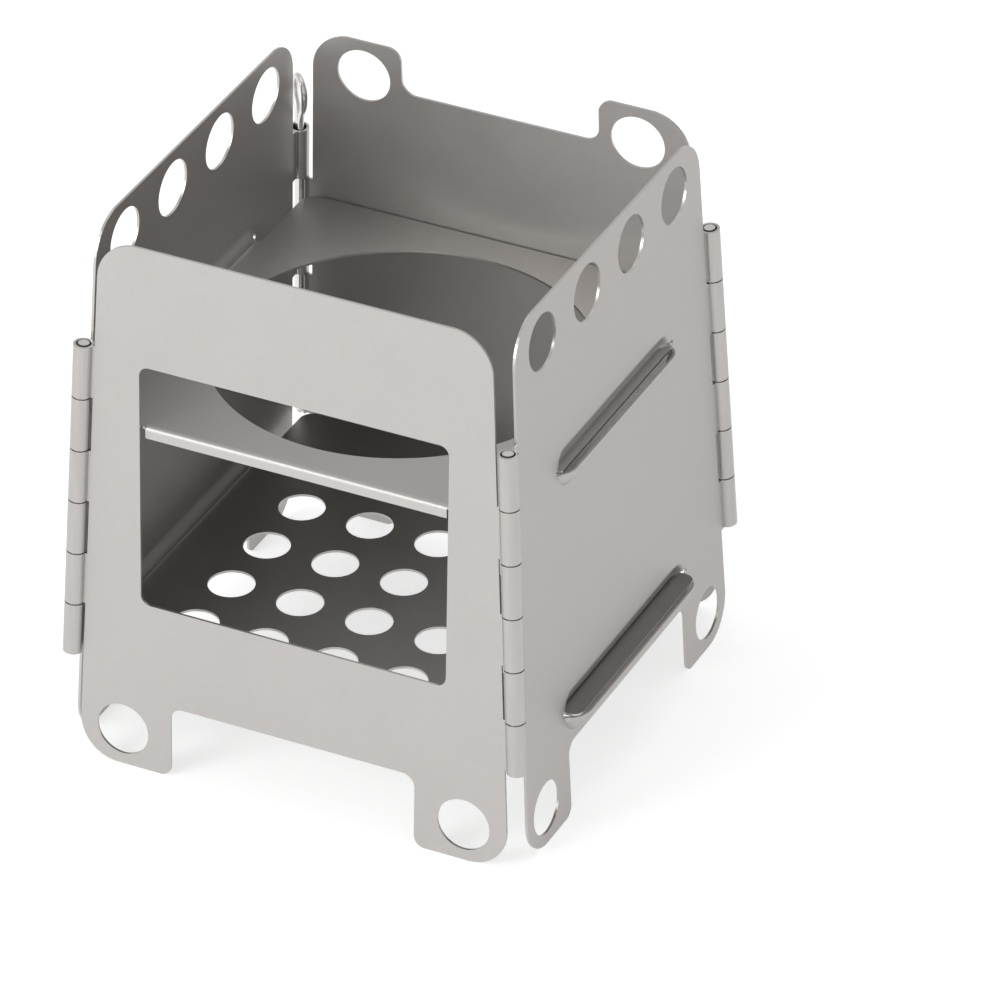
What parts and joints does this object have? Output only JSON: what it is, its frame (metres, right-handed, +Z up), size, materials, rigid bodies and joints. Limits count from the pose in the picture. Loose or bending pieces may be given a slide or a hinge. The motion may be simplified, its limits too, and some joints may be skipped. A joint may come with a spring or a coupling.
{
  "type": "folding wood stove",
  "caption": "Folding titanium wood stove with hinged sheet walls, a lock pin, a burner shelf, a perforated fire grate and a front window.",
  "frame": {"origin": "middle of the box on the ground, under the feet", "axes": "+Z up, -Y out of the front wall with the window, +X to the right seen from the front"},
  "size_m": [0.1004, 0.0968, 0.1125],
  "materials": {
    "wall_sheet": "satin, bead-blasted titanium",
    "plate_sheet": "satin, bead-blasted titanium",
    "pin_wire": "satin"
  },
  "bodies": {
    "front": {"front_panel": "wall_sheet", "hinge_pin_front_left": "pin_wire", "hinge_pin_front_right": "pin_wire", "burner_shelf": "plate_sheet", "fire_grate": "plate_sheet"},
    "left": {"left_panel": "wall_sheet"},
    "right": {"right_panel": "wall_sheet", "hinge_pin_rear_right": "pin_wire"},
    "rear": {"rear_panel": "wall_sheet"},
    "lock": {"lock_pin": "pin_wire"}
  },
  "joints": [
    {"name": "left_hinge", "type": "hinge", "parent": "front", "child": "left", "pos_m": [-0.0475, -0.0475, 0], "axis": [0.046, 0.046, 0.9979], "range_deg": [0, 90]},
    {"name": "right_hinge", "type": "hinge", "parent": "front", "child": "right", "pos_m": [0.0475, -0.0475, 0], "axis": [0.046, -0.046, -0.9979], "range_deg": [0, 90]},
    {"name": "rear_hinge", "type": "hinge", "parent": "right", "child": "rear", "pos_m": [0.0475, 0.0475, 0], "axis": [0.046, 0.046, -0.9979], "range_deg": [0, 90]},
    {"name": "lock_slide", "type": "slide", "parent": "left", "child": "lock", "axis": [0.046, -0.046, 0.9979], "range_m": [0, 0.075]}
  ]
}
